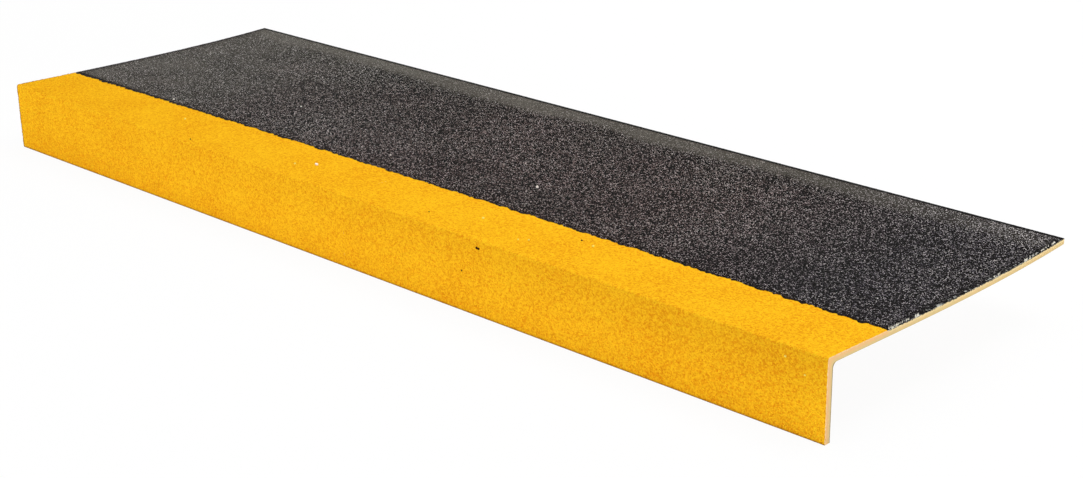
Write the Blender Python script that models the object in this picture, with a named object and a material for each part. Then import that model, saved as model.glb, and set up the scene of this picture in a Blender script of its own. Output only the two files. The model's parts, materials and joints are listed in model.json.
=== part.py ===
"""A moulded glass-fibre stair tread: a flat panel with a nose that hangs over the step's front edge.

Metres, +Z up. +X runs along the tread, -Y is the front, where the nose hangs down, and the origin is
the middle of the flat underside, which beds on the step.
"""

import math

import bpy
import bmesh
from mathutils import Vector

NAME = "stair_tread"

# Overall sizes, taken over the outside faces
LENGTH = 0.762
DEPTH = 0.245
NOSE_DROP = 0.0508

# Walls of the moulding, with the grit coat that is bonded into its skin
PANEL_THICKNESS = 0.0042
NOSE_THICKNESS = 0.005

# Rounds of the section: outside and inside of the fold, and the free edges
NOSE_RADIUS = 0.002
FILLET_RADIUS = 0.0035
EDGE_RADIUS = 0.0006
EDGE_SHARE = 0.45  # a free edge's round takes at most this share of the wall that it is on

# Colour fields of the moulded skin: the yellow runs back from the front face, and the band where the
# grit thins out runs forward from the back edge
YELLOW_DEPTH = 0.0545
REAR_BAND_DEPTH = 0.021

# Flats that stand for a quarter round
FOLD_FLATS = 10
EDGE_FLATS = 3

# The section's lines, in Y and Z
PANEL_EDGE = min(EDGE_RADIUS, EDGE_SHARE * PANEL_THICKNESS)
NOSE_EDGE = min(EDGE_RADIUS, EDGE_SHARE * NOSE_THICKNESS)
BED_DEPTH = DEPTH - NOSE_THICKNESS - FILLET_RADIUS - PANEL_EDGE
INNER_Y = -BED_DEPTH / 2 - FILLET_RADIUS
FRONT_Y = INNER_Y - NOSE_THICKNESS
BACK_Y = FRONT_Y + DEPTH
UNDERSIDE_Z = 0.0
TOP_Z = UNDERSIDE_Z + PANEL_THICKNESS
BOTTOM_Z = TOP_Z - NOSE_DROP
YELLOW_Y = FRONT_Y + YELLOW_DEPTH
REAR_BAND_Y = BACK_Y - REAR_BAND_DEPTH

# Finishes: sRGB colour and roughness. None is metal.
FINISHES = {
    "polyester_laminate_sawn": ("e3c48c", 0.6),
    "yellow_grit_coat": ("f7b61c", 0.55),
    "black_grit_coat": ("443e3e", 0.6),
    "black_resin_band": ("605c58", 0.5),
}
LAMINATE, YELLOW, BLACK, BAND = range(len(FINISHES))


def clear_scene():
    """Removes what the scene holds."""
    for thing in list(bpy.data.objects):
        bpy.data.objects.remove(thing, do_unlink=True)


def linear(hex_colour):
    """An sRGB hex colour as the linear RGBA that a shader reads."""
    channels = [int(hex_colour[i : i + 2], 16) / 255 for i in (0, 2, 4)]
    return [c / 12.92 if c <= 0.04045 else ((c + 0.055) / 1.055) ** 2.4 for c in channels] + [1.0]


def make_finish(name, hex_colour, roughness):
    """One skin colour of the tread as a material."""
    material = bpy.data.materials.new(name)
    material.use_nodes = True
    shader = material.node_tree.nodes["Principled BSDF"]
    shader.inputs["Base Color"].default_value = linear(hex_colour)
    shader.inputs["Roughness"].default_value = roughness
    shader.inputs["Metallic"].default_value = 0.0
    material.diffuse_color = linear(hex_colour)
    return material


def rounded_corner(before, corner, after, radius, flats):
    """Points of a round on a square corner, from the side towards before to the side towards after."""
    inward = (corner - before).normalized()
    onward = (after - corner).normalized()
    centre = corner + radius * (onward - inward)
    turns = [math.radians(90) * step / flats for step in range(flats + 1)]
    return [centre + radius * (math.sin(a) * inward - math.cos(a) * onward) for a in turns]


def section_outline():
    """The section seen along +X, as (Y, Z) points that run once round it."""
    corners = [
        (Vector((FRONT_Y, BOTTOM_Z)), NOSE_EDGE, EDGE_FLATS),
        (Vector((INNER_Y, BOTTOM_Z)), NOSE_EDGE, EDGE_FLATS),
        (Vector((INNER_Y, UNDERSIDE_Z)), FILLET_RADIUS, FOLD_FLATS),
        (Vector((BACK_Y, UNDERSIDE_Z)), PANEL_EDGE, EDGE_FLATS),
        (Vector((BACK_Y, TOP_Z)), PANEL_EDGE, EDGE_FLATS),
        (Vector((REAR_BAND_Y, TOP_Z)), 0.0, 0),
        (Vector((YELLOW_Y, TOP_Z)), 0.0, 0),
        (Vector((FRONT_Y, TOP_Z)), NOSE_RADIUS, FOLD_FLATS),
    ]
    points = []
    for index, (corner, radius, flats) in enumerate(corners):
        if flats == 0:
            points.append(corner)
            continue
        before = corners[index - 1][0]
        after = corners[(index + 1) % len(corners)][0]
        points += rounded_corner(before, corner, after, radius, flats)
    return points


def section_curve(points):
    """The outline as a filled curve, extruded half the length to each side."""
    curve = bpy.data.curves.new(NAME + "_section", "CURVE")
    curve.dimensions = "2D"
    curve.fill_mode = "BOTH"
    curve.extrude = LENGTH / 2
    line = curve.splines.new("POLY")
    line.points.add(len(points) - 1)
    for place, (y, z) in zip(line.points, points):
        place.co = (y, z, 0.0, 1.0)
    line.use_cyclic_u = True
    return bpy.data.objects.new(NAME + "_section", curve)


def skin_of(face):
    """The finish of a face, in the section's own axes: x is the tread's Y and y is its Z."""
    middle = face.calc_center_median()
    up_and_forward = face.normal.y - face.normal.x
    if up_and_forward <= abs(face.normal.z):
        return LAMINATE
    if middle.x < YELLOW_Y:
        return YELLOW
    return BAND if middle.x > REAR_BAND_Y else BLACK


def make_tread(collection):
    """The one solid, with its colour fields."""
    section = section_curve(section_outline())
    collection.objects.link(section)
    # The section is drawn in its own plane and stood up, so that its extrusion lies along X
    section.rotation_euler = (math.radians(90), 0.0, math.radians(90))
    bpy.context.view_layer.update()
    solid = section.evaluated_get(bpy.context.evaluated_depsgraph_get())
    mesh = bpy.data.meshes.new_from_object(solid)
    mesh.name = NAME
    tread = bpy.data.objects.new(NAME, mesh)
    tread.matrix_world = section.matrix_world
    bpy.data.objects.remove(section, do_unlink=True)
    collection.objects.link(tread)

    mesh.materials.clear()
    for name, (hex_colour, roughness) in FINISHES.items():
        mesh.materials.append(make_finish(name, hex_colour, roughness))

    work = bmesh.new()
    work.from_mesh(mesh)
    bmesh.ops.remove_doubles(work, verts=work.verts, dist=0.00001)
    bmesh.ops.recalc_face_normals(work, faces=work.faces)
    for face in work.faces:
        face.material_index = skin_of(face)
    work.to_mesh(mesh)
    work.free()
    mesh.shade_smooth()
    mesh.set_sharp_from_angle(angle=math.radians(30))
    return tread


def main():
    clear_scene()
    parts = bpy.data.collections.new("stair tread")
    bpy.context.scene.collection.children.link(parts)
    make_tread(parts)


main()
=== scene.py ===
"""Dresses a moulded glass-fibre stair tread: its sawn laminate, its gritted coats and a studio.

The tread is one L-shaped moulding. Its outside carries a coat of polyester resin full of mineral grit,
yellow over the nose and black behind it, and the bare laminate shows at the cut ends and underneath.
Metres, +Z up, +X along the tread and -Y to the front, where the nose hangs down.
"""

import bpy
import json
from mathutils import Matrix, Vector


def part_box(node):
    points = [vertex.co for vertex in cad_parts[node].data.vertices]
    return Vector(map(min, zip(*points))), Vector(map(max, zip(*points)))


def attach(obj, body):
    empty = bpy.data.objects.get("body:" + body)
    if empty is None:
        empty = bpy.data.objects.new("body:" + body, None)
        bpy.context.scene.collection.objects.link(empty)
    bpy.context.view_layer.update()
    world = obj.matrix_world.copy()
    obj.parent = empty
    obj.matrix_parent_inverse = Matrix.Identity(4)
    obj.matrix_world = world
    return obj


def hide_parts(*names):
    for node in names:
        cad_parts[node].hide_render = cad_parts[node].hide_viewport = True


bl_info = {
    "name": "Gritted Stair Tread",
    "version": (1, 0, 0),
    "blender": (4, 5, 0),
    "location": "3D View > Sidebar > Stair Tread",
    "description": "A moulded glass-fibre stair tread with a yellow gritted nose and a black gritted field",
    "category": "Add Mesh",
}

import json
import math
from types import SimpleNamespace

import bmesh
import bpy
import numpy as np
from mathutils import Matrix, Vector

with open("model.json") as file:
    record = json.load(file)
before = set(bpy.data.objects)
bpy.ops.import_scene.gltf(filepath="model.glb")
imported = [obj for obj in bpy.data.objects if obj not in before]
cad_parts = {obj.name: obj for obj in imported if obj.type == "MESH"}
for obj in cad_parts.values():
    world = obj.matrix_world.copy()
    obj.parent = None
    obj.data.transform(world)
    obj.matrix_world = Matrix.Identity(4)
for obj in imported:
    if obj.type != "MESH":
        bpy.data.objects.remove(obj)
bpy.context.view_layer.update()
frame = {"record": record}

NODE = "stair_tread"
BODY = "root"

# The moulding's outside and walls, as the frame has them
LOW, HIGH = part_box(NODE)
MOUNTS = {mount["name"]: Vector(mount["pos_m"]) for mount in frame["record"]["mounts"]}
LENGTH = HIGH.x - LOW.x
DEPTH = HIGH.y - LOW.y
NOSE_DROP = HIGH.z - LOW.z
UNDERSIDE_Z = MOUNTS["underside"].z
INNER_Y = MOUNTS["nose_inside"].y

WHITE = (1.0, 1.0, 1.0, 1.0)


def linear(hex_colour):
    """An sRGB hex colour as the linear RGBA that a shader reads."""
    channels = [int(hex_colour[i : i + 2], 16) / 255 for i in (0, 2, 4)]
    return [c / 12.92 if c <= 0.04045 else ((c + 0.055) / 1.055) ** 2.4 for c in channels] + [1.0]


def length_value(name, default, description):
    """A length that a user can change, in metres."""
    return bpy.props.FloatProperty(
        name=name, description=description, default=default, min=0.0, precision=5, unit="LENGTH"
    )


def colour_value(name, hex_colour, description):
    """A colour that a user can change."""
    return bpy.props.FloatVectorProperty(
        name=name,
        description=description,
        default=linear(hex_colour),
        size=4,
        min=0.0,
        max=1.0,
        subtype="COLOR",
    )


class TreadSizes(bpy.types.PropertyGroup):
    """Sizes of the coats and the laminate, in metres."""

    yellow_depth: length_value("Yellow depth", 0.0545, "Depth of the yellow on top, from the front face")
    line_bow: length_value("Line bow", 0.003, "How far the line between the colours bows back in the middle")
    line_lean: length_value("Line lean", 0.0025, "Extra depth of the yellow at the right end")
    rear_band: length_value("Rear band", 0.019, "Depth of the smoother band along the back edge")
    fold_radius: length_value("Fold radius", 0.002, "Outside radius of the fold at the nose")
    fillet_radius: length_value("Fillet radius", 0.0035, "Inside radius of the fold at the nose")
    coat: length_value("Coat", 0.0006, "Thickness of the gritted coat, up to the grains' tops")
    rim_round: length_value("Rim round", 0.0005, "Round on the coat's long rims")
    black_pitch: length_value("Black mesh pitch", 0.0007, "Distance between the black coat's mesh points")
    yellow_pitch: length_value("Yellow mesh pitch", 0.0009, "Distance between the yellow coat's mesh rows")
    black_grain: length_value("Black grain", 0.001, "Distance between the grains of the black coat")
    black_speckle: length_value("Black speckle", 0.0005, "Distance between the black coat's specks")
    black_relief: length_value("Black relief", 0.00025, "Height of the grains of the black coat")
    yellow_grain: length_value("Yellow grain", 0.00135, "Distance between the grains of the yellow coat")
    yellow_speckle: length_value("Yellow speckle", 0.00085, "Distance between the yellow coat's specks")
    yellow_relief: length_value("Yellow relief", 0.0004, "Height of the grains of the yellow coat")
    dish_left: length_value("Dish, left", 0.0019, "Sag of the panel's middle at the left end")
    dish_right: length_value("Dish, right", 0.0026, "Sag of the panel's middle at the right end")
    tuck: length_value("Tuck", 0.0009, "How far the nose's lower edge leans in from square")
    chip: length_value("Chip", 0.0015, "Longest chip out of the coat at a cut end")
    frayed_strand: length_value("Frayed strand", 0.0016, "Longest glass strand that the saw has pulled up")
    stray_grain: length_value("Stray grain", 0.0012, "Width of a stray grain")


class TreadColours(bpy.types.PropertyGroup):
    """Colours of the coats and the laminate."""

    yellow: colour_value("Yellow", "ffc622", "Safety yellow of the nose's coat")
    # Painted shade: the brown of a dark line along the yellow's left rim and lower edge, and of a darker
    # front under the fold
    yellow_rim_shade: colour_value("Yellow rim", "6a3c06", "Stained brown along the yellow coat's free edges")
    # Used for random darker specks and pools, and as painted shade in the hollows between the grains
    yellow_deep: colour_value("Deep yellow", "e68f12", "Yellow between the grains, where the coat lies thick")
    black: colour_value("Black", "090606", "Black of the coat between the grains")
    # The pale colours below go on the specks that catch the light: painted glints over the grains' own random
    # tone
    black_grain: colour_value("Black grain", "ccaaa5", "Warm black on the palest of the common grains")
    olive_grain: colour_value("Olive grain", "b8afa2", "Olive black on the palest grains, under more resin")
    cool_grain: colour_value("Cool grain", "928b99", "Neutral black on the palest grains by the right end")
    # Painted highlight: the pale grey on rubbed tips, which are also glossy
    rubbed_glint_grain: colour_value("Worn grain", "efe6e2", "Grey of a grain whose tip is rubbed bare")
    # Painted sheen: the band's paler olive grey, over its real smoother, less gritty resin
    band: colour_value("Rear band", "68635a", "Olive black of the smoother band")
    laminate_skin: colour_value("Laminate skin", "fbe8b2", "Pale edge of the sawn laminate, next to the coat")
    laminate: colour_value("Laminate", "f0bf81", "Tan of the sawn laminate's outer half")
    laminate_inner: colour_value("Laminate, inner", "dfc487", "Yellower tan of the sawn laminate, further in")
    # Painted shade: a darker brown along the rolled inner edge of the sawn face
    rolled_rim_shade: colour_value("Rolled rim", "7a653c", "Brown resin skin at the sawn laminate's inner side")
    underside: colour_value("Underside", "c9a868", "Resin-rich tan of the rolled underside")
    pale_grain: colour_value("Pale grain", "fdf6ec", "A stray grain that the pigment missed")
    thin_grain: colour_value("Thin grain", "fff070", "A stray grain that the yellow covers thinly")
    dark_grain: colour_value("Dark grain", "3a0c08", "A dark stray grain")
    strand: colour_value("Strand", "fbf7e8", "A frayed glass strand")
    torn: colour_value("Torn laminate", "dfe0da", "Whitened laminate where the coat has torn off")


def add_node(tree, kind, inputs=None, **settings):
    """Adds a node with its settings, and sets or links its sockets."""
    node = tree.nodes.new(kind)
    for name, value in settings.items():
        setattr(node, name, value)
    for socket, value in (inputs or {}).items():
        if isinstance(value, bpy.types.NodeSocket):
            tree.links.new(value, node.inputs[socket])
        else:
            node.inputs[socket].default_value = value
    return node


def new_material(name, inputs):
    """A material whose Principled shader holds the values in inputs, with its tree and shader."""
    material = bpy.data.materials.get(name) or bpy.data.materials.new(name)
    material.use_nodes = True
    tree = material.node_tree
    tree.nodes.clear()
    shader = add_node(tree, "ShaderNodeBsdfPrincipled")
    add_node(tree, "ShaderNodeOutputMaterial", {"Surface": shader.outputs[0]})
    for socket, value in inputs.items():
        shader.inputs[socket].default_value = value
    return material, tree, shader


def yellow_coat_material(colours, sizes):
    """Safety-yellow polyester over bonded grit, moulded.

    The pigment hides the grit, so the grains show only as soft bumps, with painted shade: paler on top and
    deeper between.
    """
    material, tree, shader = new_material(
        "yellow_polyester_grit_coat_moulded", {"Roughness": 0.6, "Specular IOR Level": 0.0, "IOR": 1.54}
    )
    place = add_node(tree, "ShaderNodeTexCoord").outputs["Object"]
    relief = add_node(tree, "ShaderNodeAttribute", attribute_name="relief").outputs["Fac"]
    # On the yellow this mark holds painted shade along its left rim and lower edge and under the fold
    bare = add_node(tree, "ShaderNodeAttribute", attribute_name="bare").outputs["Fac"]
    # A speck for each grain of grit, wider than under the black for the paint over it
    grit = add_node(tree, "ShaderNodeTexVoronoi", {"Vector": place, "Scale": 1 / sizes.yellow_speckle})
    grain = add_node(tree, "ShaderNodeSeparateColor", {"Color": grit.outputs["Color"]}).outputs[0]
    # Resin pools 40 mm wide, slightly deeper in colour
    pools = add_node(tree, "ShaderNodeTexNoise", {"Vector": place, "Scale": 1 / 0.04, "Detail": 0.0})
    # The speck's own random tone counts most, then its grain's height, which paints shade into the hollows
    # between the grains, then the pool that it lies in
    height = relief
    for shade, weight in ((grain, 1.9), (pools.outputs[0], 0.8)):
        add = add_node(tree, "ShaderNodeMath", {0: shade, 1: weight, 2: height}, operation="MULTIPLY_ADD")
        height = add.outputs[0]
    share = add_node(
        tree, "ShaderNodeMapRange", {"Value": height, "From Min": 0.5, "From Max": 2.5}
    ).outputs[0]
    # Deep yellow, the full yellow on the raised specks, then the brown of the painted rim and fold shade
    colour = colours.yellow_deep
    for cover, layer in ((share, colours.yellow), (bare, colours.yellow_rim_shade)):
        mix = add_node(tree, "ShaderNodeMix", {0: cover, 6: colour, 7: layer}, data_type="RGBA")
        colour = mix.outputs[2]
    tree.links.new(colour, shader.inputs["Base Color"])
    raised = {"Height": grit.outputs["Distance"], "Strength": 1.0, "Distance": 0.0006}
    bump = add_node(tree, "ShaderNodeBump", raised, invert=True)
    tree.links.new(bump.outputs[0], shader.inputs["Normal"])
    return material


def black_coat_material(colours, sizes):
    """Black polyester full of bonded mineral grit, moulded.

    The palest specks of the grains are painted glints over their own random tone, and a few tips are rubbed
    grey, glossy and painted paler still as highlights. Along the back edge the grit thins out to a smoother
    band, painted paler as sheen, and along its rims the coat is bare black resin, with painted shade at the
    back rim.
    """
    material, tree, shader = new_material("black_polyester_grit_coat_moulded", {"IOR": 1.55})
    place = add_node(tree, "ShaderNodeTexCoord").outputs["Object"]
    relief, drowned_and_sheen, bare, torn, olive, wear_and_sparkle = [
        add_node(tree, "ShaderNodeAttribute", attribute_name=name).outputs["Fac"]
        for name in ("relief", "drowned_and_sheen", "bare", "torn", "olive", "wear_and_sparkle")
    ]
    # A speck for each broken face of the grit
    grit = add_node(tree, "ShaderNodeTexVoronoi", {"Vector": place, "Scale": 1 / sizes.black_speckle})
    grain = add_node(tree, "ShaderNodeSeparateColor", {"Color": grit.outputs["Color"]}).outputs[0]
    # Patches 90 mm wide where more or less resin covers the grit
    patches = add_node(tree, "ShaderNodeTexNoise", {"Vector": place, "Scale": 1 / 0.09, "Detail": 2.0})
    patch = add_node(
        tree, "ShaderNodeMapRange", {"Value": patches.outputs[0], "From Min": 0.35, "From Max": 0.65}
    ).outputs[0]
    # How far a speck stands out: its own random tone, with its grain's height, which paints shade between the
    # grains, its patch and its wear, which paints sparkle by the back right corner
    stand = add_node(
        tree, "ShaderNodeMath", {0: relief, 1: 0.08, 2: grain}, operation="MULTIPLY_ADD"
    ).outputs[0]
    level = add_node(tree, "ShaderNodeMapRange", {"Value": patch, "To Min": 0.93, "To Max": 0.905}).outputs[0]
    stand = add_node(tree, "ShaderNodeMath", {0: stand, 1: level}, operation="MULTIPLY").outputs[0]
    stand = add_node(
        tree, "ShaderNodeMath", {0: wear_and_sparkle, 1: 0.07, 2: stand}, operation="MULTIPLY_ADD"
    ).outputs[0]
    # Under a fifth of the specks get a painted glint, and the few that stand out most get a painted highlight
    # on tips that look rubbed
    lit, rubbed = [
        add_node(tree, "ShaderNodeMapRange", {"Value": stand, "From Min": low, "From Max": high}).outputs[0]
        for low, high in ((0.81, 0.91), (0.87, 0.96))
    ]
    # The last 200 mm turn cooler, fully so 60 mm from the right end
    along = add_node(tree, "ShaderNodeSeparateXYZ", {"Vector": place}).outputs["X"]
    cool = add_node(
        tree, "ShaderNodeMapRange", {"Value": along, "From Min": HIGH.x - 0.2, "From Max": HIGH.x - 0.06}
    ).outputs[0]
    pale = colours.black_grain
    for cover, layer in ((olive, colours.olive_grain), (cool, colours.cool_grain)):
        mix = add_node(tree, "ShaderNodeMix", {0: cover, 6: pale, 7: layer}, data_type="RGBA")
        pale = mix.outputs[2]
    # Grit still shows through the resin by a quarter; the band's paler colour is painted sheen
    band_and_sheen = add_node(tree, "ShaderNodeMath", {0: drowned_and_sheen, 1: 0.75}, operation="MULTIPLY").outputs[0]
    # Painted glints on the lit specks, painted highlights on the rubbed tips, painted sheen on the band, bare
    # black with painted shade at the back rim, then torn laminate
    layers = (
        (lit, pale),
        (rubbed, colours.rubbed_glint_grain),
        (band_and_sheen, colours.band),
        (bare, colours.black),
        (torn, colours.torn),
    )
    colour = colours.black
    for cover, layer in layers:
        mix = add_node(tree, "ShaderNodeMix", {0: cover, 6: colour, 7: layer}, data_type="RGBA")
        colour = mix.outputs[2]
    tree.links.new(colour, shader.inputs["Base Color"])
    rough = add_node(
        tree, "ShaderNodeMapRange", {"Value": grain, "To Min": 0.65, "To Max": 0.35}
    ).outputs[0]
    tree.links.new(rough, shader.inputs["Roughness"])
    # Dull between the grains, glassy on the rubbed tips
    glassy = add_node(
        tree, "ShaderNodeMath", {0: rubbed, 1: bare}, operation="SUBTRACT", use_clamp=True
    ).outputs[0]
    gloss = add_node(tree, "ShaderNodeMapRange", {"Value": glassy, "To Min": 0.01, "To Max": 0.5}).outputs[0]
    tree.links.new(gloss, shader.inputs["Specular IOR Level"])
    raised = {"Height": grit.outputs["Distance"], "Strength": 1.0, "Distance": 0.0007}
    bump = add_node(tree, "ShaderNodeBump", raised, invert=True)
    tree.links.new(bump.outputs[0], shader.inputs["Normal"])
    return material


def sawn_laminate_material(colours):
    """Glass-fibre polyester laminate, sawn.

    The saw leaves a dry tan face whose layers run along the wall, pinker near the coat and yellower inside.
    """
    material, tree, shader = new_material(
        "glass_polyester_laminate_sawn", {"Roughness": 0.7, "Specular IOR Level": 0.3, "IOR": 1.54}
    )
    place = add_node(tree, "ShaderNodeTexCoord").outputs["Object"]
    inward, under_black, on_nose = [
        add_node(tree, "ShaderNodeAttribute", attribute_name=name).outputs["Fac"]
        for name in ("inward", "under_black", "on_nose")
    ]
    # Cut ends of the strands, about 1.2 mm wide
    strands = add_node(tree, "ShaderNodeTexNoise", {"Vector": place, "Scale": 1 / 0.0012, "Detail": 2.0})
    uneven = add_node(
        tree, "ShaderNodeMath", {0: strands.outputs[0], 1: 0.6, 2: inward}, operation="MULTIPLY_ADD"
    ).outputs[0]
    inner = add_node(
        tree, "ShaderNodeMapRange", {"Value": uneven, "From Min": 0.6, "From Max": 1.1}
    ).outputs[0]
    # Blotches 7 mm long, where the layers lie differently
    blotches = add_node(
        tree, "ShaderNodeTexNoise", {"Vector": place, "Scale": 1 / 0.007, "Detail": 1.0}
    ).outputs[0]
    yellower = add_node(
        tree, "ShaderNodeMapRange", {"Value": blotches, "From Min": 0.35, "From Max": 0.6, "To Min": 0.6}
    ).outputs[0]
    yellower = add_node(
        tree, "ShaderNodeMath", {0: yellower, 1: under_black}, operation="MULTIPLY"
    ).outputs[0]
    inner = add_node(tree, "ShaderNodeMath", {0: inner, 1: yellower}, operation="MAXIMUM").outputs[0]
    tans = {0: inner, 6: colours.laminate, 7: colours.laminate_inner}
    tan = add_node(tree, "ShaderNodeMix", tans, data_type="RGBA").outputs[2]
    # The pale skin under the coat is thicker under the black
    skin_end = add_node(
        tree, "ShaderNodeMapRange", {"Value": under_black, "To Min": 0.42, "To Max": 0.9}
    ).outputs[0]
    past_skin = add_node(
        tree, "ShaderNodeMapRange", {"Value": uneven, "From Min": 0.1, "From Max": skin_end}
    ).outputs[0]
    # The rolled side ends in a resin skin, painted darker as shade along that edge, which shows most down the
    # nose
    strength = add_node(
        tree, "ShaderNodeMapRange", {"Value": on_nose, "To Min": 0.15, "To Max": 0.85}
    ).outputs[0]
    resin = add_node(
        tree, "ShaderNodeMapRange", {"Value": inward, "From Min": 0.84, "From Max": 0.9, "To Max": strength}
    ).outputs[0]
    # Black resin has soaked into the laminate just under the black coat
    soaked = add_node(
        tree, "ShaderNodeMapRange", {"Value": uneven, "From Min": 0.42, "From Max": 0.36}
    ).outputs[0]
    soaked = add_node(tree, "ShaderNodeMath", {0: soaked, 1: under_black}, operation="MULTIPLY").outputs[0]
    colour = colours.laminate_skin
    for cover, layer in ((past_skin, tan), (resin, colours.rolled_rim_shade), (soaked, colours.black)):
        mix = add_node(tree, "ShaderNodeMix", {0: cover, 6: colour, 7: layer}, data_type="RGBA")
        colour = mix.outputs[2]
    tree.links.new(colour, shader.inputs["Base Color"])
    bump = add_node(
        tree, "ShaderNodeBump", {"Height": strands.outputs[0], "Strength": 0.4, "Distance": 0.0002}
    )
    tree.links.new(bump.outputs[0], shader.inputs["Normal"])
    return material


def torn_laminate_material(colours):
    """Glass-fibre polyester laminate, torn. It is whitened where the coat has come off with its glass."""
    look = {"Base Color": colours.torn, "Roughness": 0.6, "Specular IOR Level": 0.3, "IOR": 1.54}
    return new_material("glass_polyester_laminate_torn", look)[0]


def glass_strand_material(colours):
    """Glass strands, frayed. They are whitened and catch the light."""
    look = {"Base Color": colours.strand, "Roughness": 0.4, "IOR": 1.54}
    return new_material("glass_strand_frayed", look)[0]


def rolled_laminate_material(colours):
    """Glass-fibre polyester laminate, rolled out by hand on the open side of the mould.

    Chopped strands show through the clear resin as crossing pale streaks.
    """
    material, tree, shader = new_material(
        "glass_polyester_laminate_rolled", {"Roughness": 0.38, "Specular IOR Level": 0.5, "IOR": 1.54}
    )
    place = add_node(tree, "ShaderNodeTexCoord").outputs["Object"]
    streaks = 0.0
    # Strands 1.6 mm wide and about 30 mm long, in three directions
    for turn in (0.35, 1.4, 2.5):
        turned = add_node(
            tree,
            "ShaderNodeMapping",
            {"Vector": place, "Rotation": (0.0, 0.0, turn), "Scale": (1 / 0.03, 1 / 0.0016, 1 / 0.03)},
        ).outputs[0]
        noise = add_node(
            tree, "ShaderNodeTexNoise", {"Vector": turned, "Scale": 1.0, "Detail": 1.0}
        ).outputs[0]
        strand = add_node(
            tree, "ShaderNodeMapRange", {"Value": noise, "From Min": 0.52, "From Max": 0.68}
        ).outputs[0]
        most = add_node(tree, "ShaderNodeMath", {0: streaks, 1: strand}, operation="MAXIMUM")
        streaks = most.outputs[0]
    share = add_node(tree, "ShaderNodeMath", {0: streaks, 1: 0.6}, operation="MULTIPLY").outputs[0]
    tans = {0: share, 6: colours.underside, 7: colours.laminate}
    tan = add_node(tree, "ShaderNodeMix", tans, data_type="RGBA").outputs[2]
    tree.links.new(tan, shader.inputs["Base Color"])
    bump = add_node(tree, "ShaderNodeBump", {"Height": streaks, "Strength": 0.5, "Distance": 0.0003})
    tree.links.new(bump.outputs[0], shader.inputs["Normal"])
    return material


def stray_grain_material(strays, colour):
    """A mineral grain, crushed. Its broken faces are mottled. Quartz catches the light, slag stays dull."""
    look = {"Roughness": strays.roughness, "Specular IOR Level": strays.gloss, "IOR": 1.55}
    material, tree, shader = new_material(strays.finish, look)
    place = add_node(tree, "ShaderNodeTexCoord").outputs["Object"]
    # Mottling 0.5 mm wide
    mottle = add_node(tree, "ShaderNodeTexNoise", {"Vector": place, "Scale": 1 / 0.0005})
    shade = [channel * 0.8 for channel in colour[:3]] + [1.0]
    mottled = add_node(tree, "ShaderNodeMix", {0: mottle.outputs[0], 6: shade, 7: colour}, data_type="RGBA")
    tree.links.new(mottled.outputs[2], shader.inputs["Base Color"])
    return material


def soft_noise(u, v, scale, seed):
    """Smooth random waves from -1 to 1 over points u, v, with hills about scale apart."""
    rng = np.random.default_rng(seed)
    column, row = u / scale, v / scale
    low_column, low_row = np.floor(column).astype(int), np.floor(row).astype(int)
    lattice = rng.uniform(-1, 1, (low_row.max() + 2, low_column.max() + 2))
    across, along = column - low_column, row - low_row
    across, along = across**2 * (3 - 2 * across), along**2 * (3 - 2 * along)
    near = lattice[low_row, low_column] * (1 - across) + lattice[low_row, low_column + 1] * across
    far = lattice[low_row + 1, low_column] * (1 - across) + lattice[low_row + 1, low_column + 1] * across
    return near * (1 - along) + far * along


def grain_field(u, v, cell, seed):
    """How high the tallest grain over each point stands there, from 0 to 1.

    Grains lie one to a cell of a loose lattice, each with its own place, width and height.
    """
    rng = np.random.default_rng(seed)
    column, row = u / cell, v / cell
    own_column, own_row = np.floor(column).astype(int), np.floor(row).astype(int)
    shape = (own_row.max() + 3, own_column.max() + 3)
    place_u, place_v, width, height = rng.random((4, *shape))
    rise = np.zeros_like(u)
    for side_u in (-1, 0, 1):
        for side_v in (-1, 0, 1):
            cell_at = (own_row + side_v + 1, own_column + side_u + 1)
            away = np.hypot(
                column - own_column - side_u - place_u[cell_at], row - own_row - side_v - place_v[cell_at]
            )
            reach = 0.55 + 0.4 * width[cell_at]
            here = (0.4 + 0.6 * height[cell_at]) * np.clip(1 - (away / reach) ** 2, 0, 1)
            rise = np.maximum(rise, here)
    return rise


def fade(distance, reach):
    """1 at no distance, falling smoothly to 0 at reach."""
    share = np.clip(1 - distance / reach, 0, 1)
    return share * share * (3 - 2 * share)


def path_lengths(fold_radius):
    """The outside's run up the nose, round its fold and back over the panel."""
    return NOSE_DROP - fold_radius, math.pi / 2 * fold_radius, DEPTH - fold_radius


def run_on_top(behind, fold_radius):
    """The run of a place on top that lies so far behind the front face."""
    up, round_fold, _ = path_lengths(fold_radius)
    return up + round_fold + behind - fold_radius


def outside_at(run, fold_radius):
    """The outside's (Y, Z) and outward normal at each run, measured from the nose's lower edge."""
    up, round_fold, _ = path_lengths(fold_radius)
    turned = np.clip((run - up) / round_fold, 0, 1) * math.pi / 2
    normal_y, normal_z = -np.cos(turned), np.sin(turned)
    y = LOW.y + fold_radius * (1 + normal_y) + np.maximum(run - up - round_fold, 0)
    z = HIGH.z - fold_radius * (1 - normal_z) - np.maximum(up - run, 0)
    return y, z, normal_y, normal_z


def dish_at(x, y, sizes):
    """How far the panel sags at (X, Y): a shallow trough, deepest just behind the panel's middle."""
    across = np.clip((y - LOW.y - sizes.fold_radius) / (DEPTH - sizes.fold_radius), 0, 1)
    deepest = sizes.dish_left + (sizes.dish_right - sizes.dish_left) * (x - LOW.x) / LENGTH
    return deepest * 4 * across * (1 - across) * (0.55 + 0.9 * across)


def tuck_at(y, z, sizes):
    """How far back the nose's tuck takes (Y, Z): forward at its top and back at its foot.

    It fades out over the panel's first 60 mm.
    """
    return sizes.tuck * ((HIGH.z - z) / NOSE_DROP - 0.5) * fade(y - LOW.y, 0.06)


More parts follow.
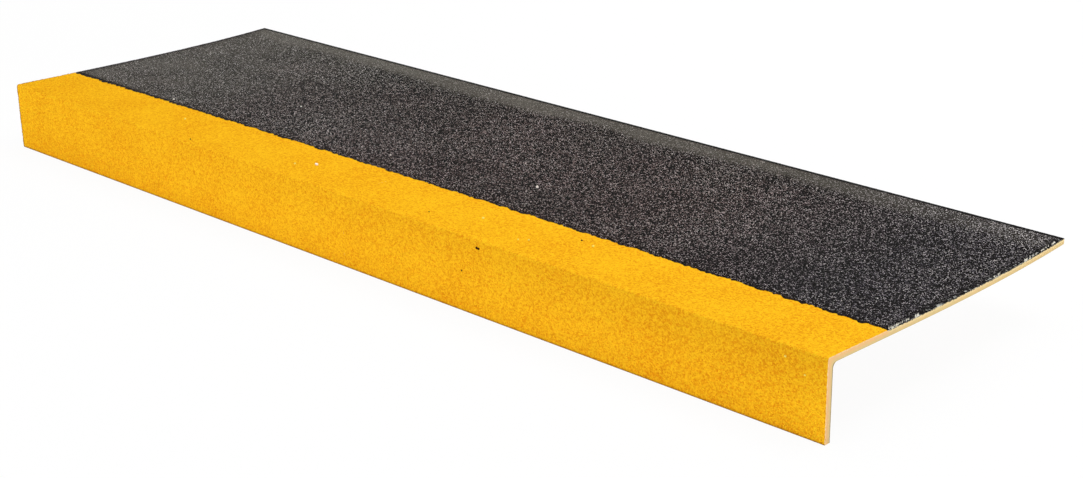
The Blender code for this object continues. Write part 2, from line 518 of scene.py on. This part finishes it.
def coat_points(x, run, depth, sizes):
    """Points that lie depth under the coat's outside, at x along the tread and run round its section."""
    y, z, normal_y, normal_z = outside_at(run, sizes.fold_radius)
    y = y - depth * normal_y
    z = z - depth * normal_z
    return np.stack([x, y + tuck_at(y, z, sizes), z - dish_at(x, y, sizes)], axis=-1)


def drowned_and_sheen_share(along, run, whole, sizes):
    """How far resin drowns the black grit, from 0 to 1.

    It does so most in a band along the back edge, which is all but lost towards the right end, and in
    patches, 20 mm wide, by the left end. The coat is painted paler there as sheen.
    """
    # The band's front waves by 4 mm over 50 mm, and by 1.5 mm over 8 mm. The band rises over 13 mm, and
    # loses three quarters of its strength over the last 300 mm.
    wave = 0.004 * soft_noise(along, run * 0, 0.05, 31) + 0.0015 * soft_noise(along, run, 0.008, 32)
    band = fade(whole - sizes.rear_band + 0.005 + wave - run, 0.013)
    band *= 1 - 0.75 * fade(LENGTH - along, 0.3)
    patchy = 0.5 + 0.5 * soft_noise(along, run, 0.02, 34)
    return np.maximum(band * (0.65 + 0.3 * patchy), fade(along, 0.22) * (0.25 + 0.4 * patchy))


def olive_share(along, run, whole):
    """How olive the black is, from 0 to 1: more over the left 400 mm, the back 60 mm and soft patches."""
    olive = fade(along, 0.4) + 0.8 * fade(whole - run, 0.06) + 0.35 * soft_noise(along, run, 0.06, 35)
    return np.clip(olive, 0, 1)


def wear_and_sparkle_share(along, run, line, whole):
    """How far the black grains are rubbed, which also paints sparkle on them: most by the back right corner,
    less along the right end.

    The corner's wear reaches 50 mm forward and 180 mm to the left, and the end's reaches 40 mm in.
    """
    corner = fade(whole - run, 0.05) * fade(LENGTH - along, 0.18)
    end = 0.5 * fade(LENGTH - along, 0.04) * np.clip((run - line) / (whole - line), 0, 1)
    return np.maximum(corner, end)


def bend_line(along, run, line, sizes):
    """The runs, bent by the line between the colours, which follows the grains and bows a little."""
    # Teeth up to 1.2 mm deep over 2 mm, and up to 0.7 mm deep over 5 mm
    ragged = 0.0012 * soft_noise(along, along * 0, 0.002, 41)
    ragged += 0.0007 * soft_noise(along, along * 0, 0.005, 42)
    share = along / LENGTH
    bow = sizes.line_bow * (4 * share * (1 - share) - 1) + sizes.line_lean * share
    return run + ragged * fade(np.abs(run - line), 0.005) + bow * fade(np.abs(run - line), 0.02)


def bare_resin_and_painted_shade(along, run, line, whole, fold_radius, is_black):
    """How far the black coat is bare resin, with painted shade at its back rim, and how far the yellow one is
    darkened by painted shade, from 0 to 1.

    The black is bare along its rims and along the yellow, and its full black at the back rim is painted
    shade.
    The yellow gets a painted dark line of shade along its left rim and its lower edge, and painted shade on
    its front a little under the fold, more towards the right end.
    """
    from_end = np.minimum(along, LENGTH - along)
    # The black is bare resin along the cut ends and the yellow; the full black at the back rim is painted
    # shade where the rim rounds down
    bare = np.maximum(0.9 * fade(from_end, 0.008), fade(whole - run - 0.0026, 0.0018))
    bare = np.maximum(bare, np.maximum(0.5 * fade(run - line, 0.008), fade(run - line - 0.0014, 0.0014)))
    up, round_fold, _ = path_lengths(fold_radius)
    # Painted shade on the yellow: a darker front just under the fold, growing towards the right end, and a
    # dark line along its left rim and lower edge
    fold_shade = fade(np.maximum(up - run, 0), 0.035) * (run < up + round_fold / 2) * along / LENGTH
    rim_and_fold_shade = np.maximum(0.8 * np.maximum(fade(along, 0.0016), fade(run, 0.0016)), 0.15 * fold_shade)
    return np.where(is_black, bare, rim_and_fold_shade)


def chip_ends(along, is_black, chip_length, rng):
    """Chips the coat back from both cut ends: the black more than the yellow, the right more than the left.

    Gives the places along the tread, with 1 where a chip is so deep that it tore the laminate.
    """
    torn = np.zeros_like(along)
    chips = rng.random((2, len(along)))
    for column, chip in zip((0, -1), chips):
        inward, share = (1, 0.2) if column == 0 else (-1, 1.0)
        # Of the rows, 22% have a deep chip
        deep = np.clip((chip - 0.78) / 0.22, 0, 1) * np.where(is_black[:, 0], share, 0.12)
        notch = 0.00015 * chip * is_black[:, 0] + deep * chip_length
        torn[:, column] = deep > 0.5
        from_cut = np.abs(along - along[:, column][:, None])
        along = along + inward * notch[:, None] * fade(from_cut, 0.006)
    return along, torn


def coat_skin(sizes):
    """The coated outside as rows of points up and over the section, and columns along the tread."""
    whole = sum(path_lengths(sizes.fold_radius))
    line = run_on_top(sizes.yellow_depth, sizes.fold_radius)
    yellow_rows = round(line / sizes.yellow_pitch)
    black_rows = round((whole - line) / sizes.black_pitch)
    # The row on the line between the colours is there twice, once for each coat
    runs = np.concatenate([np.linspace(0, line, yellow_rows + 1), np.linspace(line, whole, black_rows + 1)])
    columns = round(LENGTH / sizes.black_pitch)
    along, run = np.meshgrid(np.linspace(0, LENGTH, columns + 1), runs)
    flat = np.stack(np.broadcast_arrays(along / LENGTH, run / whole), axis=-1)

    # Loosen the mesh by 0.3 of its pitch, but for its rims and the line between the colours
    rng = np.random.default_rng(11)
    loose = np.ones_like(run)
    for fixed in (loose[0], loose[-1], loose[yellow_rows : yellow_rows + 2], loose[:, 0], loose[:, -1]):
        fixed[:] = 0
    along = along + rng.uniform(-0.3, 0.3, run.shape) * sizes.black_pitch * loose
    run = run + rng.uniform(-0.3, 0.3, run.shape) * sizes.black_pitch * loose

    is_black = np.arange(len(runs))[:, None] > yellow_rows
    black_rise = grain_field(along, run, sizes.black_grain, 21)
    rise = np.where(is_black, black_rise, grain_field(along, run, sizes.yellow_grain, 22))
    relief = np.where(is_black, sizes.black_relief, sizes.yellow_relief)
    drowned_and_sheen = drowned_and_sheen_share(along, run, whole, sizes) * is_black
    olive = olive_share(along, run, whole)
    wear_and_sparkle = wear_and_sparkle_share(along, run, line, whole)

    # Resin fills up to 0.6 of the grains' height, over slow swells 6 mm wide
    swell = 0.00006 * (1 + soft_noise(along, run, 0.006, 33)) / 2
    depth = relief * (1 - rise * (1 - 0.6 * drowned_and_sheen)) + swell
    # The black starts in a fine groove
    depth = np.maximum(depth, 0.0005 * fade(run - line, 0.0012) * is_black)
    # Round off the two long rims
    rim = sizes.rim_round
    for from_rim in (run, whole - run):
        past = np.clip(rim - from_rim, 0, rim)
        depth = np.maximum(depth, rim - np.sqrt(rim**2 - past**2))

    run = bend_line(along, run, line, sizes)
    bare = bare_resin_and_painted_shade(along, run, line, whole, sizes.fold_radius, is_black)
    along, torn = chip_ends(along, is_black, sizes.chip, rng)

    x = LOW.x + along
    return SimpleNamespace(
        top=coat_points(x, run, depth, sizes),
        foot=coat_points(x, run, sizes.coat, sizes),
        marks={
            "relief": rise,
            "drowned_and_sheen": drowned_and_sheen,
            "bare": bare,
            "torn": torn,
            "olive": olive,
            "wear_and_sparkle": wear_and_sparkle,
        },
        flat=flat,
        line_row=yellow_rows,
    )


def coarse_steps(count):
    """Every eighth index of count, with the last."""
    return sorted(set(range(0, count, 8)) | {count - 1})


def closed_coat(name, top, foot, flat, marks, materials):
    """A coat as one closed mesh: its fine top, a coarse foot under it and walls that join the two."""
    rows, columns = top.shape[:2]
    number = np.arange(rows * columns).reshape(rows, columns)
    foot_rows, foot_columns = coarse_steps(rows), coarse_steps(columns)
    under = rows * columns + np.arange(len(foot_rows) * len(foot_columns))
    under = under.reshape(len(foot_rows), len(foot_columns))
    points = np.concatenate([top.reshape(-1, 3), foot[np.ix_(foot_rows, foot_columns)].reshape(-1, 3)])

    tops = np.stack([number[:-1, :-1], number[:-1, 1:], number[1:, 1:], number[1:, :-1]], axis=-1)
    feet = np.stack([under[:-1, :-1], under[1:, :-1], under[1:, 1:], under[:-1, 1:]], axis=-1)
    faces = tops.reshape(-1, 4).tolist() + feet.reshape(-1, 4).tolist()
    sides = (
        (number[0], under[0], foot_columns, False),
        (number[-1], under[-1], foot_columns, True),
        (number[:, -1], under[:, -1], foot_rows, False),
        (number[:, 0], under[:, 0], foot_rows, True),
    )
    wall_marks = []
    for side, (rim, low_rim, steps, flipped) in enumerate(sides):
        for index, (start, stop) in enumerate(zip(steps, steps[1:])):
            wall = [low_rim[index], low_rim[index + 1]] + list(rim[start : stop + 1])[::-1]
            wall = [int(corner) for corner in wall]
            faces.append(wall[::-1] if flipped else wall)
            wall_marks.append(side)

    mesh = bpy.data.meshes.new(name)
    mesh.from_pydata(points.tolist(), [], faces)
    for material in materials:
        mesh.materials.append(material)
    # The cut ends show the coat's own sawn section
    finish = np.zeros(len(faces), np.int32)
    finish[-len(wall_marks) :] = (np.array(wall_marks) > 1) * (len(materials) - 1)
    mesh.polygons.foreach_set("material_index", finish)
    for mark, values in marks.items():
        attribute = mesh.attributes.new(mark, "FLOAT", "POINT")
        level = np.zeros(len(points), np.float32)
        level[: rows * columns] = values.ravel()
        attribute.data.foreach_set("value", level)
    low_flat = flat[np.ix_(foot_rows, foot_columns)]
    spread = np.concatenate([flat.reshape(-1, 2), low_flat.reshape(-1, 2)])
    lay_out(mesh, spread, rows * columns, tops.size // 4, feet.size // 4, wall_marks)
    return mesh


# A coat spread flat, as shares of the texture's height: its top, then a strip for its foot and a strip for
# each of its four walls
TOP_HEIGHT = 0.94
FOOT_START = 0.95
FOOT_HEIGHT = 0.01
WALL_START = 0.965
WALL_STEP = 0.009
WALL_HEIGHT = 0.006


def lay_out(mesh, spread, top_points, top_faces, foot_faces, wall_sides):
    """Spreads the coat flat for a texture: the top over most of the square, the foot and walls in strips.

    spread holds the place of each point along the tread and round its section.
    """
    low, high = spread.min(0), spread.max(0)
    spread = (spread - low) / (high - low)
    corners = np.zeros(len(mesh.loops), np.int32)
    mesh.loops.foreach_get("vertex_index", corners)
    starts = np.zeros(len(mesh.polygons), np.int32)
    mesh.polygons.foreach_get("loop_start", starts)
    of_face = np.zeros(len(mesh.loops), np.int32)
    of_face[starts[1:]] = 1
    of_face = np.cumsum(of_face)
    u, v = spread[corners, 0], spread[corners, 1] * TOP_HEIGHT
    in_foot = (of_face >= top_faces) & (of_face < top_faces + foot_faces)
    v[in_foot] = FOOT_START + FOOT_HEIGHT * spread[corners, 1][in_foot]
    in_wall = of_face >= top_faces + foot_faces
    side = np.array(wall_sides)[of_face[in_wall] - top_faces - foot_faces]
    is_foot = corners[in_wall] >= top_points
    u[in_wall] = np.where(side < 2, spread[corners, 0][in_wall], spread[corners, 1][in_wall])
    v[in_wall] = WALL_START + WALL_STEP * side + WALL_HEIGHT * is_foot
    layer = mesh.uv_layers.new(name="OFBake")
    layer.data.foreach_set("uv", np.stack([u, v], axis=-1).astype(np.float32).ravel())


def place_piece(name, mesh):
    """Puts a mesh in the scene as a piece of the tread, in place of an older one of that name."""
    old = bpy.data.objects.get(name)
    if old is not None:
        bpy.data.objects.remove(old, do_unlink=True)
    piece = bpy.data.objects.new(name, mesh)
    bpy.context.scene.collection.objects.link(piece)
    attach(piece, BODY)
    return piece


def lay_coat(names, rows, materials, skin):
    """Cuts the rows of the skin into equal lengths along the tread, one piece for each name."""
    columns = skin.top.shape[1] - 1
    for part, name in enumerate(names):
        first = round(columns * part / len(names))
        last = round(columns * (part + 1) / len(names))
        here = (rows, slice(first, last + 1))
        marks = {mark: values[here] for mark, values in skin.marks.items()}
        mesh = closed_coat(name, skin.top[here], skin.foot[here], skin.flat[here], marks, materials)
        place_piece(name, mesh)


def laminate_rings(sizes):
    """The laminate's section as matching (Y, Z) points on its outside, under the coat, and its inside."""
    radius, fillet = sizes.fold_radius, sizes.fillet_radius
    up, round_fold, back = path_lengths(radius)
    # Points up the nose, round the fold and over the panel
    counts = (10, 12, 60)
    stretches = zip((0, up, up + round_fold), (up, round_fold, back), counts)
    runs = [start + length * np.arange(n) / n for start, length, n in stretches]
    run = np.concatenate([*runs, [up + round_fold + back]])
    y, z, normal_y, normal_z = outside_at(run, radius)
    outside = np.stack([y - sizes.coat * normal_y, z - sizes.coat * normal_z], axis=-1)

    leg = UNDERSIDE_Z - fillet - LOW.z
    bed = HIGH.y - INNER_Y - fillet
    share = np.concatenate([np.arange(n) / n for n in counts] + [[0.0]])
    stretch = np.repeat(np.arange(4), (*counts, 1))
    turned = np.select([stretch == 0, stretch == 1], [0.0, share], 1.0) * math.pi / 2
    centre_y, centre_z = INNER_Y + fillet, UNDERSIDE_Z - fillet
    along_bed = np.select([stretch == 2, stretch == 3], [share, 1.0], 0.0)
    inner_y = centre_y - fillet * np.cos(turned) + along_bed * bed
    inner_z = centre_z + fillet * np.sin(turned) - np.where(stretch == 0, 1 - share, 0.0) * leg
    return outside, np.stack([inner_y, inner_z], axis=-1)


def laminate_mesh(sizes, colours):
    """The bare moulding as one closed mesh: outside, inside, the two cut ends and the two long edges."""
    outside, inside = laminate_rings(sizes)
    layers = 5
    columns = 128
    depths = np.linspace(0, 1, layers)
    # A block of points: layers through the wall, rows round the section, columns along the tread
    section = outside[None] * (1 - depths)[:, None, None] + inside[None] * depths[:, None, None]
    x = np.linspace(LOW.x, HIGH.x, columns + 1)
    shape = (layers, len(outside), columns + 1)
    block = np.zeros((*shape, 3))
    block[..., 0] = x
    block[..., 1] = section[:, :, None, 0]
    block[..., 2] = section[:, :, None, 1]
    tuck = tuck_at(block[..., 1], block[..., 2], sizes)
    block[..., 2] -= dish_at(block[..., 0], block[..., 1], sizes)
    block[..., 1] += tuck
    number = np.arange(block[..., 0].size).reshape(shape)

    def quads(grid, flipped):
        corners = [grid[:-1, :-1], grid[:-1, 1:], grid[1:, 1:], grid[1:, :-1]]
        return np.stack(corners[::-1] if flipped else corners, axis=-1).reshape(-1, 4)

    cut = np.concatenate([quads(number[:, :, 0], False), quads(number[:, :, -1], True)])
    edges = np.concatenate([quads(number[:, 0], True), quads(number[:, -1], False)])
    outer = quads(number[0], False)
    inner = quads(number[-1], True)
    faces = np.concatenate([cut, edges, outer, inner])
    used, faces_used = np.unique(faces, return_inverse=True)
    faces_used = faces_used.reshape(faces.shape)

    mesh = bpy.data.meshes.new("grp_laminate")
    mesh.from_pydata(block.reshape(-1, 3)[used].tolist(), [], faces_used.tolist())
    mesh.materials.append(sawn_laminate_material(colours))
    mesh.materials.append(rolled_laminate_material(colours))
    mesh.materials.append(torn_laminate_material(colours))
    finish = np.repeat([0, 2, 1], (len(cut) + len(edges), len(outer), len(inner))).astype(np.int32)
    mesh.polygons.foreach_set("material_index", finish)
    # Under the black from 4 mm behind the line, and on the nose up to its inner face, fading 2 mm behind it
    under_black = np.clip((block[..., 1] - LOW.y - sizes.yellow_depth) / 0.004, 0, 1)
    on_nose = np.clip((INNER_Y + 0.002 - block[..., 1]) / 0.002, 0, 1)
    marks = {
        "inward": np.broadcast_to(depths[:, None, None], shape),
        "under_black": under_black,
        "on_nose": on_nose,
    }
    for mark, values in marks.items():
        attribute = mesh.attributes.new(mark, "FLOAT", "POINT")
        attribute.data.foreach_set("value", values.ravel()[used].astype(np.float32))
    mesh.shade_smooth()
    mesh.set_sharp_from_angle(angle=math.radians(40))
    return mesh


def on_outside(along, run, sizes):
    """The point on the coat's outside at a place along the tread and a run, with its normal."""
    x, run = np.array([LOW.x + along]), np.array([run])
    point = coat_points(x, run, 0.0, sizes)[0]
    _, _, normal_y, normal_z = outside_at(run, sizes.fold_radius)
    return Vector(point), Vector((0.0, normal_y[0], normal_z[0]))


def stray_mesh(name, strays, sizes, material):
    """Broken grains as one mesh, each a crushed ball that sits part sunk in the coat."""
    rng = np.random.default_rng(strays.seed)
    work = bmesh.new()
    for along, behind, width in strays.places:
        run = run_on_top(behind, sizes.fold_radius) if behind > 0 else NOSE_DROP + behind
        point, normal = on_outside(along, run, sizes)
        ball = bmesh.ops.create_icosphere(work, subdivisions=1, radius=0.5)
        size = sizes.stray_grain * width
        for corner in ball["verts"]:
            shape = Vector(rng.uniform(0.75, 1.1, 3)) * size
            corner.co = corner.co * shape + point - normal * size * (strays.sunk - 0.5)
    mesh = bpy.data.meshes.new(name)
    work.to_mesh(mesh)
    work.free()
    mesh.materials.append(material)
    return mesh


# Places that are tried for a frayed strand
STRAND_TRIES = 110


def strand_mesh(sizes, material):
    """Glass strands that the saw has pulled up along the black coat's right rim, as thin spikes."""
    rng = np.random.default_rng(71)
    line = run_on_top(sizes.yellow_depth, sizes.fold_radius)
    end = sum(path_lengths(sizes.fold_radius)) - 0.004
    points, faces = [], []
    runs = rng.uniform(line + 0.002, end, STRAND_TRIES)
    # They stop 2 mm behind the line and 4 mm short of the back edge, and come in clusters about 12 mm
    # apart, more of them towards the back
    dense = soft_noise(runs * 0, runs, 0.012, 72) + 0.8 * (runs - line) / (end - line)
    for run in runs[dense > 0.3]:
        foot, normal = on_outside(LENGTH - rng.uniform(0.0003, 0.0008), run, sizes)
        length = sizes.frayed_strand * rng.uniform(0.45, 1.0)
        lean = Vector((rng.uniform(-0.12, 0.12), rng.uniform(-0.12, 0.12), 0.0))
        tip = foot + (normal + lean).normalized() * length
        foot = foot - normal * sizes.coat
        half = rng.uniform(0.00018, 0.00034)
        first = len(points)
        corners = [(-half, -half), (half, -half), (half, half), (-half, half)]
        points += [tuple(foot + Vector((dx, dy, 0.0))) for dx, dy in corners] + [tuple(tip)]
        faces += [(first + 3, first + 2, first + 1, first)]
        faces += [(first + side, first + (side + 1) % 4, first + 4) for side in range(4)]
    mesh = bpy.data.meshes.new("frayed_strands")
    mesh.from_pydata(points, [], faces)
    mesh.materials.append(material)
    return mesh


# Kinds of stray grain, with the share of a grain's height that is sunk in the coat. A place is metres from
# the left end, then metres behind the front face, or below the top where the grain is on the front (less
# than nought), then the width as a share of the usual one.
STRAYS = {
    "pale": SimpleNamespace(
        finish="quartz_grain_crushed",
        roughness=0.4,
        gloss=0.5,
        sunk=0.4,
        slot="laminate",
        seed=61,
        places=(
            (0.120, 0.060, 1.3),
            (0.203, 0.115, 1.2),
            (0.340, 0.080, 1.0),
            (0.460, 0.100, 1.9),
            (0.320, 0.030, 1.5),
            (0.3215, 0.0296, 1.9),
        ),
    ),
    "dark": SimpleNamespace(
        finish="slag_grain_crushed",
        roughness=0.8,
        gloss=0.05,
        sunk=0.6,
        slot="black_grit",
        seed=62,
        places=(
            (0.213, 0.006, 1.0),
            (0.446, 0.016, 0.8),
            (0.5042, -0.0055, 1.5),
            (0.5059, -0.0056, 1.6),
            (0.4905, -0.0239, 0.9),
            (0.550, 0.044, 1.2),
        ),
    ),
    "thin": SimpleNamespace(
        finish="quartz_grain_thinly_coated",
        roughness=0.5,
        gloss=0.1,
        sunk=0.5,
        slot="yellow_grit",
        seed=63,
        places=(
            (0.169, 0.034, 1.5),
            (0.309, 0.021, 1.4),
            (0.479, 0.031, 1.6),
            (0.522, 0.018, 1.2),
            (0.527, 0.022, 1.2),
            (0.562, 0.041, 1.5),
            (0.735, -0.007, 1.3),
            (0.748, -0.014, 1.1),
        ),
    ),
}


class TREAD_OT_laminate(bpy.types.Operator):
    """Mould the bare laminate, with its sawn ends and rolled underside"""

    bl_idname = "stair_tread.laminate"
    bl_label = "Laminate"

    def execute(self, context):
        scene = context.scene
        mesh = laminate_mesh(scene.tread_sizes, scene.tread_colours)
        piece = place_piece("grp_laminate", mesh)
        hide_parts(NODE)
        return {"FINISHED"}


class TREAD_OT_yellow_coat(bpy.types.Operator):
    """Lay the yellow gritted coat over the nose and the front of the panel"""

    bl_idname = "stair_tread.yellow_coat"
    bl_label = "Yellow Coat"

    def execute(self, context):
        scene = context.scene
        skin = coat_skin(scene.tread_sizes)
        names = ("yellow_grit_left", "yellow_grit_right")
        rows = slice(0, skin.line_row + 1)
        coat = yellow_coat_material(scene.tread_colours, scene.tread_sizes)
        lay_coat(names, rows, (coat, sawn_laminate_material(scene.tread_colours)), skin)
        return {"FINISHED"}


class TREAD_OT_black_coat(bpy.types.Operator):
    """Lay the black gritted coat over the rest of the panel"""

    bl_idname = "stair_tread.black_coat"
    bl_label = "Black Coat"

    def execute(self, context):
        scene = context.scene
        skin = coat_skin(scene.tread_sizes)
        names = ("black_grit_far_left", "black_grit_left", "black_grit_right", "black_grit_far_right")
        rows = slice(skin.line_row + 1, None)
        coat = black_coat_material(scene.tread_colours, scene.tread_sizes)
        lay_coat(names, rows, (coat,), skin)
        return {"FINISHED"}


class TREAD_OT_strays(bpy.types.Operator):
    """Set the stray grains in the coats"""

    bl_idname = "stair_tread.strays"
    bl_label = "Stray Grains"

    def execute(self, context):
        sizes, colours = context.scene.tread_sizes, context.scene.tread_colours
        for kind, strays in STRAYS.items():
            name = kind + "_stray_grains"
            material = stray_grain_material(strays, getattr(colours, kind + "_grain"))
            place_piece(name, stray_mesh(name, strays, sizes, material))
        return {"FINISHED"}


class TREAD_OT_strands(bpy.types.Operator):
    """Pull up frayed glass strands along the right cut rim"""

    bl_idname = "stair_tread.strands"
    bl_label = "Frayed Strands"

    def execute(self, context):
        sizes, colours = context.scene.tread_sizes, context.scene.tread_colours
        mesh = strand_mesh(sizes, glass_strand_material(colours))
        place_piece("frayed_strands", mesh)
        return {"FINISHED"}


# The sky's light, and the lamps in watts, with places and sizes in metres
WORLD_LEVEL = 0.4
LAMPS = {
    "overhead": SimpleNamespace(at=(-0.1, 0.3, 1.5), aim=(0.0, 0.0, 0.0), size=(1.6, 1.0), watts=10.0),
    "right": SimpleNamespace(at=(0.6, 0.4, 1.2), aim=(0.1, 0.0, 0.0), size=(0.8, 0.6), watts=6.5),
    "front": SimpleNamespace(at=(-0.1, -1.5, 0.2), aim=(-0.1, -0.1, 0.0), size=(0.9, 0.5), watts=9.6),
    "side": SimpleNamespace(at=(1.8, -0.3, 0.5), aim=(0.3, 0.0, 0.0), size=(0.8, 0.5), watts=6.4),
    "back": SimpleNamespace(at=(-0.35, 1.4, 0.6), aim=(0.1, 0.0, 0.0), size=(0.8, 0.3), watts=4.0),
    "far": SimpleNamespace(at=(-1.6, 0.9, 0.5), aim=(-0.1, 0.0, 0.0), size=(0.6, 0.4), watts=3.0),
}
FLOOR_SIZE = 12.0
FLOOR_WHITE = 0.9
# How much of the floor's look is plain white, the rest being lit paint that keeps the shadow
FLOOR_GLOW = 0.95
# The camera and what it aims at, from the middle of the front top edge
CAMERA_OFFSET = Vector((0.8936, -0.76005, 0.4026))
TARGET_OFFSET = Vector((0.1514, 0.02715, 0.0))
CAMERA_LENS = 63.47
SENSOR_WIDTH = 36.0
CAMERA_ROLL = math.radians(-0.1)


def rays_that_see(tree):
    """1 for the rays that show a surface: from the camera, off a gloss or through glass. 0 for the rest."""
    rays = add_node(tree, "ShaderNodeLightPath").outputs
    seen = rays["Is Camera Ray"]
    for kind in ("Is Glossy Ray", "Is Transmission Ray"):
        seen = add_node(tree, "ShaderNodeMath", {0: seen, 1: rays[kind]}, operation="MAXIMUM").outputs[0]
    return seen


def floor_material():
    """A pale studio floor that shows near white and keeps a soft shadow. From below it is clear."""
    material = bpy.data.materials.new("floor_painted_white")
    material.use_nodes = True
    tree = material.node_tree
    tree.nodes.clear()
    seen = rays_that_see(tree)
    paint = add_node(tree, "ShaderNodeBsdfDiffuse", {"Color": (FLOOR_WHITE, FLOOR_WHITE, FLOOR_WHITE, 1.0)})
    glow = add_node(tree, "ShaderNodeEmission", {"Color": WHITE, "Strength": 1.0})
    share = add_node(tree, "ShaderNodeMath", {0: seen, 1: FLOOR_GLOW}, operation="MULTIPLY")
    pale = add_node(
        tree, "ShaderNodeMixShader", {0: share.outputs[0], 1: paint.outputs[0], 2: glow.outputs[0]}
    )
    back = add_node(tree, "ShaderNodeNewGeometry").outputs["Backfacing"]
    clear = add_node(tree, "ShaderNodeBsdfTransparent")
    surface = add_node(tree, "ShaderNodeMixShader", {0: back, 1: pale.outputs[0], 2: clear.outputs[0]})
    add_node(tree, "ShaderNodeOutputMaterial", {"Surface": surface.outputs[0]})
    return material


def lay_floor():
    """A plane under the nose's lower edge."""
    half = FLOOR_SIZE / 2
    mesh = bpy.data.meshes.new("floor")
    corners = [(-half, -half, LOW.z), (half, -half, LOW.z), (half, half, LOW.z), (-half, half, LOW.z)]
    mesh.from_pydata(corners, [], [(0, 1, 2, 3)])
    mesh.materials.append(floor_material())
    floor = bpy.data.objects.new("floor", mesh)
    bpy.context.scene.collection.objects.link(floor)


def light_world():
    """An even grey sky for light, which the camera sees as white."""
    world = bpy.data.worlds.new("studio")
    bpy.context.scene.world = world
    world.use_nodes = True
    tree = world.node_tree
    seen = rays_that_see(tree)
    level = add_node(tree, "ShaderNodeMapRange", {"Value": seen, "To Min": WORLD_LEVEL, "To Max": 1.0})
    background = tree.nodes["Background"]
    background.inputs["Color"].default_value = WHITE
    tree.links.new(level.outputs[0], background.inputs["Strength"])


def hang_lamps():
    """The softboxes, each turned to what it lights."""
    for place, lamp in LAMPS.items():
        name = place + "_softbox"
        light = bpy.data.lights.new(name, "AREA")
        light.shape = "RECTANGLE"
        light.size, light.size_y = lamp.size
        light.energy = lamp.watts
        hung = bpy.data.objects.new(name, light)
        hung.location = lamp.at
        hung.rotation_euler = (Vector(lamp.aim) - Vector(lamp.at)).to_track_quat("-Z", "Y").to_euler()
        bpy.context.scene.collection.objects.link(hung)


def place_camera():
    """The camera, in front of the right end and above it."""
    corner = Vector((0.0, LOW.y, HIGH.z))
    camera = bpy.data.objects.new("camera", bpy.data.cameras.new("camera"))
    camera.data.lens = CAMERA_LENS
    camera.data.sensor_width = SENSOR_WIDTH
    camera.data.sensor_fit = "HORIZONTAL"
    camera.location = corner + CAMERA_OFFSET
    look = corner + TARGET_OFFSET - camera.location
    turn = look.to_track_quat("-Z", "Y").to_matrix() @ Matrix.Rotation(CAMERA_ROLL, 3, "Z")
    camera.rotation_euler = turn.to_euler()
    bpy.context.scene.collection.objects.link(camera)
    bpy.context.scene.camera = camera


class TREAD_OT_stage(bpy.types.Operator):
    """Set the stage: floor, sky, lamps and camera"""

    bl_idname = "stair_tread.stage"
    bl_label = "Stage"

    def execute(self, context):
        for name in ("floor", "camera", *[place + "_softbox" for place in LAMPS]):
            old = bpy.data.objects.get(name)
            if old is not None:
                bpy.data.objects.remove(old, do_unlink=True)
        lay_floor()
        light_world()
        hang_lamps()
        place_camera()
        context.scene.view_settings.view_transform = "Standard"
        return {"FINISHED"}


class TREAD_PT_panel(bpy.types.Panel):
    """Sizes, colours and steps of the stair tread"""

    bl_idname = "TREAD_PT_panel"
    bl_label = "Stair Tread"
    bl_space_type = "VIEW_3D"
    bl_region_type = "UI"
    bl_category = "Stair Tread"

    def draw(self, context):
        layout = self.layout
        for group in (context.scene.tread_sizes, context.scene.tread_colours):
            column = layout.column()
            for name in group.bl_rna.properties.keys():
                if name not in ("rna_type", "name"):
                    column.prop(group, name)
        for step in STEPS:
            layout.operator(step.bl_idname)


GROUPS = (TreadSizes, TreadColours)
STEPS = (
    TREAD_OT_laminate,
    TREAD_OT_yellow_coat,
    TREAD_OT_black_coat,
    TREAD_OT_strays,
    TREAD_OT_strands,
    TREAD_OT_stage,
)


def register():
    """Registers the sizes, the colours, the steps and the panel."""
    for kind in (*GROUPS, *STEPS, TREAD_PT_panel):
        bpy.utils.register_class(kind)
    bpy.types.Scene.tread_sizes = bpy.props.PointerProperty(type=TreadSizes)
    bpy.types.Scene.tread_colours = bpy.props.PointerProperty(type=TreadColours)


def unregister():
    """Takes back what register did."""
    del bpy.types.Scene.tread_colours
    del bpy.types.Scene.tread_sizes
    for kind in reversed((*GROUPS, *STEPS, TREAD_PT_panel)):
        bpy.utils.unregister_class(kind)


def main():
    """Makes the tread and its stage."""
    register()
    bpy.ops.stair_tread.laminate()
    bpy.ops.stair_tread.yellow_coat()
    bpy.ops.stair_tread.black_coat()
    bpy.ops.stair_tread.strays()
    bpy.ops.stair_tread.strands()
    bpy.ops.stair_tread.stage()


if __name__ == "__main__":
    main()
